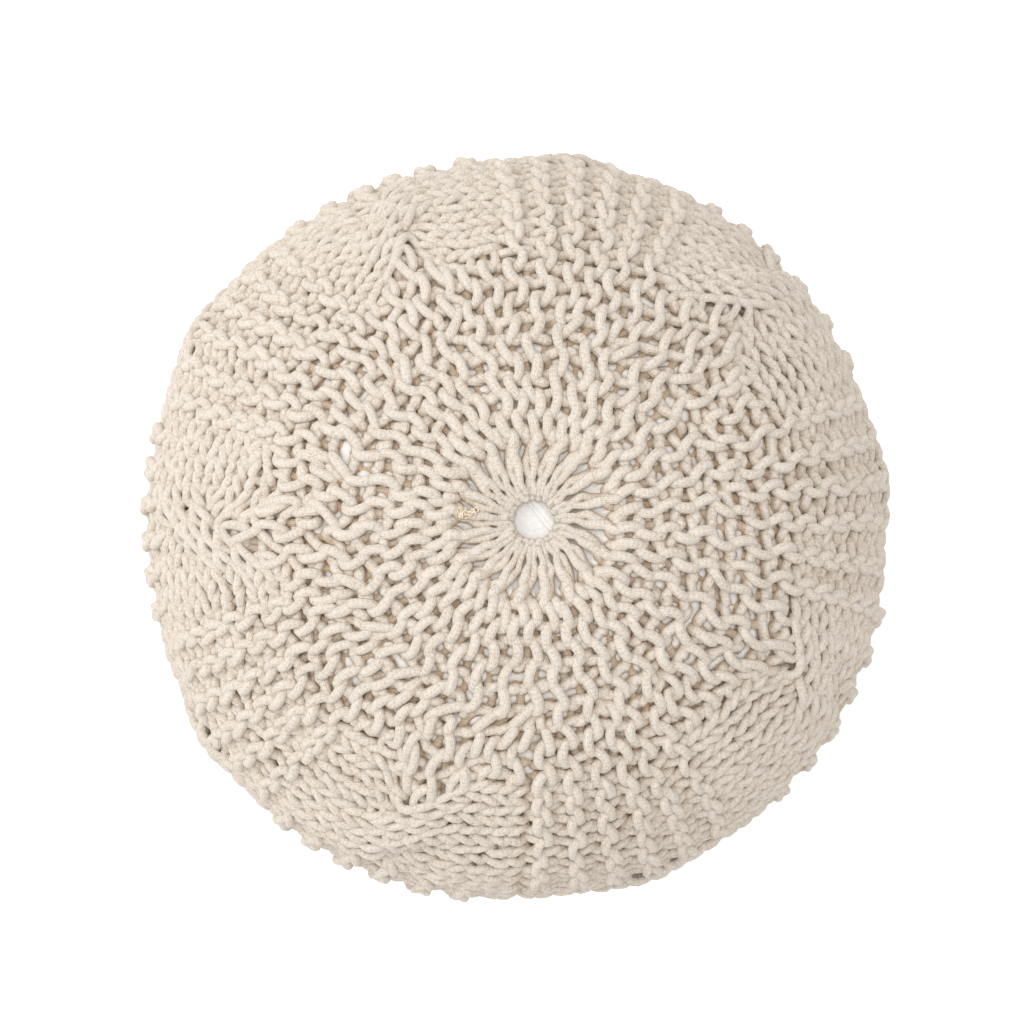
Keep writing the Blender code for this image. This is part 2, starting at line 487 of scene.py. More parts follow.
def foot_ends(row, feet, first, last, s):
    """Where the foot of a stitch meets its neighbours' feet."""
    middle, half_width, _ = feet[s]
    left, right = middle - half_width, middle + half_width
    if s > first:
        left = 0.5 * (left + feet[s - 1][0] + feet[s - 1][1])
    if s < last - 1:
        right = 0.5 * (right + feet[s + 1][0] - feet[s + 1][1])
    if (s - FIRST_BAND) % BAND_STITCHES == 0:
        left = drawn(EDGES[s], row)
    if (s + 1 - FIRST_BAND) % BAND_STITCHES == 0:
        right = drawn(EDGES[s + 1], row)
    if s == first == 1:
        left += RING_GAP
    if s == last - 1 == STITCHES - 2:
        right -= RING_GAP
    return left, right


def one_stitch(row, s, first, last, feet, heads):
    """A stitch of a row: its foot and head, and how far its points have swung between them."""
    _, place_in_set, _ = row_place(row)
    turn = np.arange(SAMPLES[s]) / SAMPLES[s]
    t = 1.0 - np.abs(2.0 * turn - 1.0)
    knit_side = 0.5 * (even_out[row % ROWS, s] + even_out[(row + 1) % ROWS, s])
    return SimpleNamespace(
        row=row, s=s, first=first, last=last, foot=feet[s], head=heads[s],
        ends=foot_ends(row, feet, first, last, s), turn=turn, t=t, u=s + turn - 0.5,
        swing=0.5 * (1.0 - np.cos(math.pi * t)), smooth_side=min(1.0, max(0.0, knit_side)),
        straight=s in (0, STITCHES - 1) and place_in_set < 2, over=place_in_set == 0)


def stitches_of(row):
    """All the stitches of a row, from the hole at the top downwards."""
    _, place_in_set, _ = row_place(row)
    first = ROW_STARTS[place_in_set]
    last = STITCHES - first
    feet = {s: column_at(row, s, False) for s in range(first, last)}
    heads = {s: column_at(row, s, True) for s in range(first, last)}
    return [one_stitch(row, s, first, last, feet, heads) for s in range(first, last)]


sample = stitches_of(84)[14]
print(f"a sample stitch has its foot at {sample.foot[0]:.0f} mm, head at {sample.head[0]:.0f} mm")

# %% Along the side: a wave of round loops
# how far the legs bulge, as a share of the loop's width
BULGE = 0.17
BULGE_SMOOTH = 0.09
BULGE_SIDE = 0.08
SIDE_STARTS = (150.0, 210.0)


def flat_wave(stitch):
    """Distances along the side before any drift, and how far down the side each one is."""
    left, right = stitch.ends
    middle_foot = stitch.foot[0]
    middle_head, half_head, _ = stitch.head
    fan = stitch.turn - 0.5
    reach = np.where(fan < 0, middle_foot - left, right - middle_foot)
    foot_line = middle_foot + 2.0 * fan * reach
    head_line = middle_head + 2.0 * fan * half_head
    x = foot_line + stitch.swing * (head_line - foot_line)
    to_side = smooth(*SIDE_STARTS, from_hole(x))
    if stitch.straight:
        return x, to_side
    wide = BULGE + BULGE_SMOOTH * stitch.smooth_side
    wide = wide + BULGE_SIDE * to_side * (1.0 - stitch.smooth_side)
    return x + wide * 2.0 * half_head * np.sin(4.0 * math.pi * stitch.turn), to_side


print(f"the sample stitch is {np.ptp(flat_wave(sample)[0]):.1f} mm wide")

# %% Round the pouf: loops that reach past each other and lean
KNIT_OVERLAP = 9.0
RIDGE_OVERLAP = 8.0
SIDE_RIDGE_OVERLAP = 7.6
VALLEY_OVERLAP = 8.4
SEAM_OVERLAP = 3.0
BELT_STARTS = (200.0, 300.0)
# share of the full overlap at the hole, and more shares with the distances where they grow
OVERLAP_AT_HOLE = 0.35
OVERLAP_GROWTH = ((0.4, 35.0, 85.0), (0.25, 85.0, 150.0))
LEAN_HEAD = 0.28
LEAN_FOOT = 0.08
LEAN_SWING = (0.35, 0.85)
DRIFT_ROUND = 1.2
OWN_ROUND = 0.8
BLEND_TURN = 0.2


def blended(table, boundary, stitch):
    """A boundary's value along a stitch, running into the neighbours' at the stitch's ends."""
    values = table[boundary % ROWS]
    to_before = 0.5 * (1.0 - smooth(0.0, BLEND_TURN, stitch.turn))
    to_after = 0.5 * (1.0 - smooth(0.0, BLEND_TURN, 1.0 - stitch.turn))
    own = values[stitch.s]
    before = values[max(stitch.first, stitch.s - 1)] - own
    after = values[min(stitch.last - 1, stitch.s + 1)] - own
    return own + to_before * before + to_after * after


def hooked(boundary, s, away):
    """How far the loops on both sides of a row boundary reach past each other."""
    if boundary % ROWS == SEAM_ROW:
        return SEAM_OVERLAP
    ridge = RIDGE_OVERLAP + smooth(*BELT_STARTS, away) * (SIDE_RIDGE_OVERLAP - RIDGE_OVERLAP)
    grow = OVERLAP_AT_HOLE
    for share, near, far in OVERLAP_GROWTH:
        grow = grow + share * smooth(near, far, away)
    lift = ridge_lift[boundary % ROWS, s]
    own = KNIT_OVERLAP * (1.0 - abs(lift))
    own = own + ridge * max(0.0, lift) + VALLEY_OVERLAP * max(0.0, -lift)
    return own * grow


def leaning(stitch, flat, free):
    """Sideways lean of a loop's head and foot where the ridge side faces out."""
    left, right = stitch.ends
    start, end = LEAN_SWING
    from_head = flat - stitch.head[0]
    from_foot = np.where(stitch.turn < 0.5, flat - left, flat - right)
    above = smooth(0.0, -1.0, blended(faces, stitch.row + 1, stitch))
    below = smooth(0.0, -1.0, blended(faces, stitch.row, stitch))
    head_ridge = above * smooth(start, end, stitch.swing) * free
    foot_ridge = below * smooth(1.0 - start, 1.0 - end, stitch.swing) * free
    return LEAN_HEAD * head_ridge * from_head - LEAN_FOOT * foot_ridge * from_foot


def angles_round(stitch, flat, free, radius):
    """Angles of a stitch's points round the pouf."""
    row, swing, away = stitch.row, stitch.swing, from_hole(flat)
    foot_angle = row_angle(caught_at(row, flat, FEET))
    head_angle = row_angle(caught_at(row, flat, HEADS))
    sideways = 0.5 * swing * hooked(row + 1, stitch.s, away)
    sideways = sideways - 0.5 * (1.0 - swing) * hooked(row, stitch.s, away)
    sideways = sideways + leaning(stitch, flat, free)
    sideways = sideways + free * DRIFT_ROUND * across(drift_round, stitch)
    sideways = sideways + free * OWN_ROUND * along_row(own_round, row, stitch)
    return foot_angle + swing * (head_angle - foot_angle) + sideways / radius


sample_angles = angles_round(sample, flat_wave(sample)[0], 1.0, RADIUS)
print(f"the sample stitch reaches {np.ptp(sample_angles) * RADIUS:.1f} mm round the pouf")

# %% In and out: how deep each point lies
DEPTH_TOP = 2.85
DEPTH_SIDE = 2.9
LIFT_TOP = 1.5
LIFT_SIDE = 1.9
# shares of the way from foot to head
WEAVE_START = 0.12
WEAVE_END = 0.45
WEAVE_SMOOTH = 0.07
# a pair's two cords lie one over the other at a distance from the pole, and rise at the hole
PAIR_LAYER = 1.3
PAIR_CROSSING = (43.0, 14.0)
PAIR_RISE = 1.2
PAIR_RISES = (38.0, 26.0)
OWN_HEIGHT = 0.4


def weave(stitch, foot, low, high, head):
    """Height of the cord along half a loop, from its foot over both legs to its head."""
    end = WEAVE_END - WEAVE_SMOOTH * stitch.smooth_side
    rise = smooth(WEAVE_START, end, stitch.t)
    over = smooth(end, 1.0 - end, stitch.t)
    fall = smooth(1.0 - end, 1.0 - WEAVE_START, stitch.t)
    value = foot + rise * (low - foot)
    value = value + over * (high - low)
    return value + fall * (head - high)


def loop_height(stitch, to_side):
    """Heights of an ordinary loop, by which side of the knitting faces out."""
    depth = DEPTH_TOP + to_side * (DEPTH_SIDE - DEPTH_TOP)
    lift = LIFT_TOP + to_side * (LIFT_SIDE - LIFT_TOP)
    below = depth * blended(faces, stitch.row, stitch)
    above = depth * blended(faces, stitch.row + 1, stitch)
    foot = lift * blended(ridge_lift, stitch.row, stitch) + stitch.foot[2]
    head = lift * blended(ridge_lift, stitch.row + 1, stitch) + stitch.head[2]
    return weave(stitch, foot - below, foot + below, head + above, head - above)


def pair_height(stitch, away):
    """Heights of a straight cord of a pair, one over the other until they reach the hole."""
    layer = PAIR_LAYER if stitch.over else -PAIR_LAYER
    return layer * bell(away, *PAIR_CROSSING) + PAIR_RISE * smooth(*PAIR_RISES, away)


print(f"the sample stitch weaves {np.ptp(loop_height(sample, 1.0)):.1f} mm in and out")

# %% Where the cord dives: row ends, crossing edges and the seam
TUCK = 5.5
HOLE_TUCK = 0.8
TUCK_REACH = 6.0
EDGE_DIVE = 0.8
EDGE_DIVE_TURN = 0.22
EDGE_DIVE_ROWS = 1.6
SEAM_SINK = 3.5
SEAM_EASE = 0.6


def edge_dive(stitch):
    """How far the cord dives where a plain stitch meets the edge of a crossing."""
    place_in_band = (stitch.s - FIRST_BAND) % BAND_STITCHES
    near = stitch.turn if place_in_band == 0 else 1.0 - stitch.turn
    edge = (stitch.s + (place_in_band > 0) - FIRST_BAND) // BAND_STITCHES
    if place_in_band not in (0, BAND_STITCHES - 1) or not 0 <= edge < BANDS:
        return 0.0
    local = nearest_crossing(stitch.row + 0.5, edge)
    return EDGE_DIVE * bell(near, 0.0, EDGE_DIVE_TURN) * bell(local, CROSS_PEAK, EDGE_DIVE_ROWS)


def dives(stitch, x, to_side):
    """How far the cord lies below its loop's own height."""
    from_end = np.minimum(x - EDGES[stitch.first], EDGES[stitch.last] - x)
    tuck = TUCK if stitch.first else HOLE_TUCK
    dive = tuck * bell(from_end, 0.0, TUCK_REACH) + edge_dive(stitch)
    seam = SEAM_SINK * (1.0 - SEAM_EASE * to_side)
    if stitch.row % ROWS == SEAM_ROW:
        dive = dive + seam * (1.0 - stitch.swing)
    if (stitch.row + 1) % ROWS == SEAM_ROW:
        dive = dive + seam * stitch.swing
    return dive


short_start = stitches_of(86)[0]
deepest_dive = dives(short_start, flat_wave(short_start)[0], 0.0).max()
print(f"the first stitch of a short row dives by {deepest_dive:.1f} mm")

# %% All the points of a stitch
MIDDLE_LAYER = 8.8
MIDDLE_RADIUS = 4.0
FREE_STARTS = (30.0, 90.0)
DRIFT_ALONG = 3.0
OWN_ALONG = 1.1
# radius of the cord in smooth rows, at the hole and further out, and where it gets slimmer
CORD = 3.05
PLAIN_CORD = 3.65
SIDE_CORD = 3.5
SLIMMER = (60.0, 160.0)
BACK_THICKER = 0.07
FRONT_HEIGHTS = (-4.0, 4.0)
# how far the sides bulge past the profile, and how much more in each of the four lobes
SWELL = 4.7
SWELL_STARTS = (200.0, 320.0)
SWELL_LOBES = 2.3
SWELL_COUNT = 4.0
SWELL_ANGLE = math.radians(54.0)


def side_swell(away, angle):
    """The sides bulge out past the plain profile, most between the crossings of the cables."""
    lobes = np.cos(SWELL_COUNT * (angle - SWELL_ANGLE))
    return smooth(*SWELL_STARTS, away) * (SWELL + SWELL_LOBES * lobes)


def cord_radius(stitch, x, away, height):
    """Radius of the cord: thinner in the smooth rows, squeezed near the hole."""
    full = PLAIN_CORD + smooth(*SLIMMER, away) * (SIDE_CORD - PLAIN_CORD)
    full = full + stitch.smooth_side * (CORD - full)
    front = smooth(*FRONT_HEIGHTS, height)
    return full * beside_hole(x)[2] * (1.0 + BACK_THICKER * (1.0 - front))


def stitch_path(stitch):
    """Points (distance, angle, height, cord radius) along one stitch of a row."""
    flat, to_side = flat_wave(stitch)
    away = from_hole(flat)
    free = smooth(*FREE_STARTS, away)
    x = flat + free * DRIFT_ALONG * across(drift_along, stitch)
    x = x + free * OWN_ALONG * along_row(own_along, stitch.row, stitch)
    radius = np.interp(x, along_side, side_radius) - MIDDLE_RADIUS
    if stitch.straight:
        angle = pair_angle(stitch.row, x, radius)
        height = pair_height(stitch, away)
    else:
        angle = angles_round(stitch, flat, free, radius)
        height = loop_height(stitch, to_side)
    height = height + OWN_HEIGHT * along_row(own_height, stitch.row, stitch)
    height = height - dives(stitch, x, to_side)
    thick = cord_radius(stitch, x, away, height)
    height = height - MIDDLE_LAYER + side_swell(away, angle)
    return np.stack([x, angle, height, thick], axis=1)


def row_path(row):
    """Points (distance, angle, height, cord radius) along a row, from the hole downwards."""
    return np.concatenate([stitch_path(stitch) for stitch in stitches_of(row)])


print("points along a long and a short row:", len(row_path(82)), len(row_path(86)))

# %% [markdown]
# ## Pairs of rows joined into closed rounds of cord
# The knitter turns at the end of each row and comes back with the same cord. One cord for
# the whole cover would be nearly 200 m long, so here each row goes down and the next comes
# back up, and the pair is closed with a small bend at both ends. The result is 61 closed
# rounds, which have no open ends to hide.

# %% The rounds, a little uneven
TURN_POINTS = 4
TURN_REACH = 3.4
WOBBLE = 0.32
UNEVEN = 0.05
UNEVEN_SEED = 100
FLOOR_GAP = 0.15


def turned(end_a, end_b, outward):
    """Points that carry the cord from the end of one row round to the next."""
    t = np.linspace(0.0, 1.0, TURN_POINTS + 2)[1:-1, None]
    bridge = end_a + t * (end_b - end_a)
    bridge[:, 0] += outward * np.sin(math.pi * t[:, 0])
    return bridge


def round_of_cord(row):
    """A pair of rows, down the first and back up the second, as one closed path."""
    down = row_path(row)
    back = row_path(row + 1)[::-1]
    low_turn = turned(down[-1], back[0], TURN_REACH)
    top_turn = turned(back[-1], down[0], -TURN_REACH)
    return np.concatenate([down, low_turn, back, top_turn])


def unevenness(count, seed):
    """Small random shifts and swellings along a closed path of cord."""
    shifts = np.random.default_rng(seed).normal(0.0, 1.0, (count, 4))
    shifts = eased(eased(shifts))
    return shifts / shifts.std(axis=0)


rounds = []
for pair in range(ROWS // 2):
    path = round_of_cord((SEAM_ROW + 2 * pair) % ROWS)
    points = eased(place(path[:, 0], path[:, 1], path[:, 2]))
    uneven = unevenness(len(points), UNEVEN_SEED + pair)
    points = points + WOBBLE * uneven[:, :3]
    radii = path[:, 3] * (1.0 + UNEVEN * uneven[:, 3])
    points[:, 2] = np.maximum(points[:, 2], radii + FLOOR_GAP)
    rounds.append((points * MM, radii * MM))
cord_points = np.concatenate([p for p, _ in rounds])
cord_length = sum(np.linalg.norm(np.diff(p, axis=0), axis=1).sum() for p, _ in rounds)
print(f"{len(rounds)} rounds, {len(cord_points)} points, {cord_length:.0f} m of cord")

# %% [markdown]
# ## From paths to cord
# The real cord is a round braid, 7 mm thick. The paths go into a mesh of bare edges, and a
# Geometry Nodes tree turns the edges into curves and sweeps a circle along them, which
# follows any path and any thickness. It also stores where round the cord each point lies,
# because the material needs it to wind the yarns.

# %% The sweep tree
def group_input(tree, name, kind):
    """A named input of a tree, by the identifier that a modifier knows it by."""
    return tree.interface.new_socket(name, in_out="INPUT", socket_type=kind).identifier


def sweep_tree():
    """Edges in, cord out."""
    tree = bpy.data.node_groups.new("sweep_cord", "GeometryNodeTree")
    tree.is_modifier = True
    keys = {}
    group_input(tree, "Geometry", "NodeSocketGeometry")
    keys["sides"] = group_input(tree, "Cord sides", "NodeSocketInt")
    keys["material"] = group_input(tree, "Material", "NodeSocketMaterial")
    tree.interface.new_socket("Geometry", in_out="OUTPUT", socket_type="NodeSocketGeometry")
    new = tree.nodes.new
    given = new("NodeGroupInput")
    rails = new("GeometryNodeMeshToCurve")
    circle = new("GeometryNodeCurvePrimitiveCircle")
    circle.inputs["Radius"].default_value = 1.0
    spot = new("GeometryNodeInputPosition")
    store = new("GeometryNodeStoreNamedAttribute")
    store.data_type = "FLOAT_VECTOR"
    store.domain = "POINT"
    store.inputs["Name"].default_value = "cord_round"
    thickness = new("GeometryNodeInputNamedAttribute")
    thickness.data_type = "FLOAT"
    thickness.inputs["Name"].default_value = "cord_radius"
    sweep = new("GeometryNodeCurveToMesh")
    soft = new("GeometryNodeSetShadeSmooth")
    whole = new("GeometryNodeRealizeInstances")
    paint = new("GeometryNodeSetMaterial")
    done = new("NodeGroupOutput")
    joins = (
        (given, "Geometry", rails, "Mesh"),
        (given, "Cord sides", circle, "Resolution"),
        (circle, "Curve", store, "Geometry"),
        (spot, "Position", store, "Value"),
        (rails, "Curve", sweep, "Curve"),
        (store, "Geometry", sweep, "Profile Curve"),
        (thickness, "Attribute", sweep, "Scale"),
        (sweep, "Mesh", soft, "Geometry"),
        (soft, "Geometry", whole, "Geometry"),
        (whole, "Geometry", paint, "Geometry"),
        (given, "Material", paint, "Material"),
        (paint, "Geometry", done, "Geometry"),
    )
    for source, out, target, into in joins:
        tree.links.new(source.outputs[out], target.inputs[into])
    return tree, keys


cord_tree, cord_keys = sweep_tree()
print("sweep tree:", len(cord_tree.nodes), "nodes")


# %% Bare edges, and cord swept along them
def edge_object(name, paths):
    """An object of bare edges from closed paths, with the cord's radius and length on them."""
    mesh = bpy.data.meshes.new(name)
    edges = []
    along = []
    start = 0
    for points, _ in paths:
        ring = np.arange(start, start + len(points))
        edges.append(np.stack([ring, np.roll(ring, -1)], axis=1))
        start += len(points)
        steps = np.linalg.norm(np.diff(points, axis=0), axis=1)
        along.append(np.concatenate([[0.0], np.cumsum(steps)]))
    points = np.concatenate([p for p, _ in paths])
    mesh.from_pydata(points.tolist(), np.concatenate(edges).tolist(), [])
    radii = mesh.attributes.new("cord_radius", "FLOAT", "POINT")
    radii.data.foreach_set("value", np.concatenate([r for _, r in paths]))
    lengths = mesh.attributes.new("cord_along", "FLOAT", "POINT")
    lengths.data.foreach_set("value", np.concatenate(along))
    piece = bpy.data.objects.new(name, mesh)
    bpy.context.scene.collection.objects.link(piece)
    return piece


def sweep_cord(piece, sides, material):
    """Sweep cord along an object's edges, and keep the result as its own plain mesh."""
    modifier = piece.modifiers.new("sweep", "NODES")
    modifier.node_group = cord_tree
    modifier[cord_keys["sides"]] = sides
    modifier[cord_keys["material"]] = material
    graph = bpy.context.evaluated_depsgraph_get()
    mesh = bpy.data.meshes.new_from_object(piece.evaluated_get(graph))
    piece.modifiers.clear()
    edges = piece.data
    piece.data = mesh
    bpy.data.meshes.remove(edges)


def triangles(piece):
    """How many triangles an object's faces make."""
    return sum(len(face.vertices) - 2 for face in piece.data.polygons)


print("a round of cord has", len(rounds[0][0]), "points")

# %% [markdown]
# ## Cotton cord
# The cord is unbleached cotton, braided from a few yarns, matt and a little hairy. A picture
# of cord could be wrapped round it, but here the yarns are worked out from two facts that
# each point knows: where round the cord it lies and how far along. Two sets of yarns wind in
# opposite directions, fibres run along them, and fuzz lies over it all. The same values give
# the colour and the relief: the fibres differ a little at random, and dark lines are painted
# shade in the grooves.

# %% Helpers for shader trees
def matt_material(name, roughness):
    """A new material without shine, its tree and its shader."""
    material = bpy.data.materials.new(name)
    material.use_nodes = True
    shader = material.node_tree.nodes["Principled BSDF"]
    shader.inputs["Roughness"].default_value = roughness
    return material, material.node_tree, shader


def add(tree, kind, **values):
    """A node of a kind, with its settings and its unlinked inputs given by name."""
    node = tree.nodes.new(kind)
    for name, value in values.items():
        if hasattr(node, name):
            setattr(node, name, value)
        else:
            node.inputs[name.replace("_", " ")].default_value = value
    return node


def noise(tree, where, **values):
    """A noise texture's value at a place."""
    node = add(tree, "ShaderNodeTexNoise", **values)
    tree.links.new(where, node.inputs["Vector"])
    return node.outputs["Fac"]


def maths(tree, operation, *terms):
    """A Math node whose inputs are numbers or other nodes' outputs."""
    node = add(tree, "ShaderNodeMath", operation=operation)
    for socket, term in zip(node.inputs, terms):
        if isinstance(term, (int, float)):
            socket.default_value = term
        else:
            tree.links.new(term, socket)
    return node.outputs[0]


def weighted(tree, *parts):
    """The sum of outputs, each times its own weight."""
    total = 0.0
    for output, weight in parts:
        total = maths(tree, "MULTIPLY_ADD", output, weight, total)
    return total


def ramped(tree, factor, stops):
    """A colour ramp over a factor, from (position, colour) stops."""
    ramp = tree.nodes.new("ShaderNodeValToRGB")
    points = ramp.color_ramp.elements
    for point, (position, colour) in zip(points, (stops[0], stops[-1])):
        point.position = position
        point.color = (*colour, 1.0)
    for position, colour in stops[1:-1]:
        points.new(position).color = (*colour, 1.0)
    tree.links.new(factor, ramp.inputs["Fac"])
    return ramp.outputs["Color"]


def raised(tree, shader, relief, strength, distance):
    """Give a shader a relief."""
    bump = add(tree, "ShaderNodeBump", Strength=strength, Distance=distance)
    tree.links.new(relief, bump.inputs["Height"])
    tree.links.new(bump.outputs["Normal"], shader.inputs["Normal"])


# %% Painted shade: the brown light deep between the cords, one group for cord and calico
# painted shade: the brown of light that bounced deep between the cords, multiplied into the colour
PAINTED_SHADE_TINT = (0.74, 0.62, 0.48)


def colour_socket(sockets, name):
    """A Mix node has sockets of the same name for each type: this is the one for colours."""
    return next(s for s in sockets if s.name == name and s.type == "RGBA")


def painted_shade_group():
    """Shader group: a colour with painted brown shade, as much as each point's stored shade says.
    """
    group = bpy.data.node_groups.new("painted_deep_shade", "ShaderNodeTree")
    group.interface.new_socket("Colour", in_out="INPUT", socket_type="NodeSocketColor")
    group.interface.new_socket("Colour", in_out="OUTPUT", socket_type="NodeSocketColor")
    given = group.nodes.new("NodeGroupInput")
    done = group.nodes.new("NodeGroupOutput")
    # how much painted shade each point has stored
    depth = add(group, "ShaderNodeAttribute", attribute_name="painted_shade").outputs["Fac"]
    mix = add(
        group, "ShaderNodeMix", data_type="RGBA", blend_type="MULTIPLY", clamp_factor=False)
    group.links.new(depth, mix.inputs["Factor"])
    group.links.new(given.outputs["Colour"], colour_socket(mix.inputs, "A"))
    colour_socket(mix.inputs, "B").default_value = (*PAINTED_SHADE_TINT, 1.0)
    group.links.new(colour_socket(mix.outputs, "Result"), done.inputs["Colour"])
    return group


painted_deep_shade = painted_shade_group()


def with_painted_shade(tree, colour):
    """A colour output passed through the group that paints brown shade on it."""
    node = add(tree, "ShaderNodeGroup", node_tree=painted_deep_shade)
    tree.links.new(colour, node.inputs["Colour"])
    return node.outputs["Colour"]


print("brown group:", len(painted_deep_shade.nodes), "nodes")

# %% The cord's finish
YARNS = 7.0
WINDING = 165.0  # radians in a metre of cord
FIBRE_LENGTHS = 80.0
WANDER = 5.0
SHEEN_TINT = (1.0, 0.88, 0.75, 1.0)
# colours of the cotton from dark to light: the fibres differ at random, and the darker end also
# gives painted shade in the grooves
CORD_TONES = (
    (0.51, (0.60, 0.50, 0.395)),
    (0.60, (0.78, 0.70, 0.605)),
    (0.74, (0.805, 0.74, 0.66)),
)


def cord_material():
    """Braided cotton cord."""
    material, tree, shader = matt_material("cotton_cord", 0.92)
    link = tree.links.new
    shader.inputs["Sheen Weight"].default_value = 0.1
    shader.inputs["Sheen Roughness"].default_value = 0.5
    shader.inputs["Sheen Tint"].default_value = SHEEN_TINT
    spot = tree.nodes.new("ShaderNodeTexCoord").outputs["Object"]
    around = add(tree, "ShaderNodeAttribute", attribute_name="cord_round")
    along = add(tree, "ShaderNodeAttribute", attribute_name="cord_along").outputs["Fac"]
    parts = tree.nodes.new("ShaderNodeSeparateXYZ")
    link(around.outputs["Vector"], parts.inputs["Vector"])
    turn = maths(tree, "ARCTAN2", parts.outputs["Y"], parts.outputs["X"])
    winding = maths(tree, "MULTIPLY", along, WINDING)
    one_way = maths(tree, "ADD", turn, winding)
    other_way = maths(tree, "SUBTRACT", turn, winding)
    # coordinates that wind with the yarns, so fibres run along them
    strand = tree.nodes.new("ShaderNodeCombineXYZ")
    link(maths(tree, "COSINE", one_way), strand.inputs["X"])
    link(maths(tree, "SINE", one_way), strand.inputs["Y"])
    link(maths(tree, "MULTIPLY", along, FIBRE_LENGTHS), strand.inputs["Z"])
    fibres = noise(
        tree, strand.outputs["Vector"], Scale=7.0, Detail=2.0, Roughness=0.5, Distortion=0.6)
    fuzz = noise(tree, spot, Scale=950.0, Detail=1.0, Roughness=0.5)
    patches = noise(tree, spot, Scale=60.0, Detail=2.0)
    wander = maths(tree, "MULTIPLY", patches, WANDER)
    over = maths(tree, "SINE", maths(tree, "MULTIPLY_ADD", one_way, YARNS, wander))
    under = maths(tree, "SINE", maths(tree, "MULTIPLY_ADD", other_way, YARNS, wander))
    braid = maths(tree, "MULTIPLY_ADD", maths(tree, "MULTIPLY", over, under), 0.5, 0.5)
    relief = weighted(tree, (fibres, 1.4), (braid, 0.7), (fuzz, 1.2))
    raised(tree, shader, relief, strength=0.8, distance=0.0007)
    # colour from the same values as the relief: random fibre colour, and painted shade where the
    # relief is low
    tone_and_groove_shade = weighted(tree, (fuzz, 0.35), (fibres, 0.65), (patches, 0.15), (braid, 0.10))
    link(with_painted_shade(tree, ramped(tree, tone_and_groove_shade, CORD_TONES)), shader.inputs["Base Color"])
    return material


cotton = cord_material()
print("cord material:", len(cotton.node_tree.nodes), "nodes")

# %% [markdown]
# ## The cover
# The cover is one cloth, but a mesh of it would be too big for one file, so it is swept a fifth
# of the pouf at a time. Light that gets between the cords bounces from cotton to cotton and
# turns brown. More bounces would give some of that at a high price, so every point of the cord
# is told how deep it lies, and the material tints the deep ones with painted brown shade.

# %% How deep a point of the cord lies, and how much painted shade it gets
# depths between which the painted brown shade sets in, and sets in again in the deepest gaps of
# the sides
SHADED = (6.0, 11.5)
DEEPEST = (11.5, 15.0)
SHADE_CHANGES = (150.0, 240.0)
SHADE_LOSS = 0.5

profile_turn = np.arctan2(side_height - EQUATOR, side_radius)[::-1]
profile_reach = np.hypot(side_height - EQUATOR, side_radius)[::-1]


def browned(spots):
    """How much painted brown shade points of the cord get, from 0 up, by how deep they lie in the
    knitting.
    """
    radius = np.hypot(spots[:, 0], spots[:, 1])
    turn = np.arctan2(spots[:, 2] - EQUATOR, radius)
    away = from_hole(np.interp(turn, profile_turn, along_side[::-1]))
    surface = np.interp(turn, profile_turn, profile_reach)
    surface = surface + side_swell(away, np.arctan2(spots[:, 1], spots[:, 0]))
    depth = surface - np.hypot(radius, spots[:, 2] - EQUATOR)
    side = smooth(*SHADE_CHANGES, away)
    return smooth(*SHADED, depth) * (1.0 - SHADE_LOSS * side) + smooth(*DEEPEST, depth) * side


def shade_points(mesh, values):
    """Store how much painted brown shade each point of a mesh gets."""
    shade = mesh.attributes.new("painted_shade", "FLOAT", "POINT")
    shade.data.foreach_set("value", values)


print("the lowest cords look browned by", browned(cord_points / MM).max().round(2))

# %% Sweep the cord, a fifth of the pouf at a time
CORD_SIDES = 8
PARTS = ((0, 12), (12, 24), (24, 36), (36, 48), (48, 61))

for number, (first, last) in enumerate(PARTS, 1):
    piece = edge_object(f"knitted_cover_part_{number}", rounds[first:last])
    sweep_cord(piece, CORD_SIDES, cotton)
    spots = np.empty(3 * len(piece.data.vertices))
    piece.data.vertices.foreach_get("co", spots)
    # painted shade: deeper points of the cord are made browner
    shade_points(piece.data, browned(spots.reshape(-1, 3) / MM))
    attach(piece, "root")
    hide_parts("knitted_cover")
    print(piece.name, "triangles:", triangles(piece))

# %% [markdown]
# ## The cut end
# Beside the hole the knitter cut the cord off, and its end has come apart into a small tuft.
# Hair would be too fine for the export, so the tuft is a heap of small closed curls, swept by
# the same tree as the cord. Loose fibre has no braid, so it has a finish of its own.

# %% The finish of loose fibre
FRAY_TONES = ((0.40, (0.60, 0.44, 0.28)), (0.55, (0.88, 0.77, 0.62)))


def fray_material():
    """Cotton fibre that has come loose: darker and lighter blotches, no relief."""
    material, tree, shader = matt_material("frayed_cotton", 0.9)
    spot = tree.nodes.new("ShaderNodeTexCoord").outputs["Object"]
    blotches = noise(tree, spot, Scale=700.0, Detail=1.0)
    tree.links.new(ramped(tree, blotches, FRAY_TONES), shader.inputs["Base Color"])
    return material


loose_cotton = fray_material()
print("loose fibre material:", len(loose_cotton.node_tree.nodes), "nodes")

# %% The curls of the cut end
FRAY_AT = (44.5, math.radians(174.5), -2.4)
FRAY_SPREAD = (3.4, 1.5, 0.5)
FRAY_CURLS = 17
CURL_POINTS = 14
CURL_SIZES = (0.9, 1.9)
CURL_FLATNESS = (0.35, 0.9)
CURL_RISE = 0.9
CURL_RADIUS = 0.5
CURL_SIDES = 5


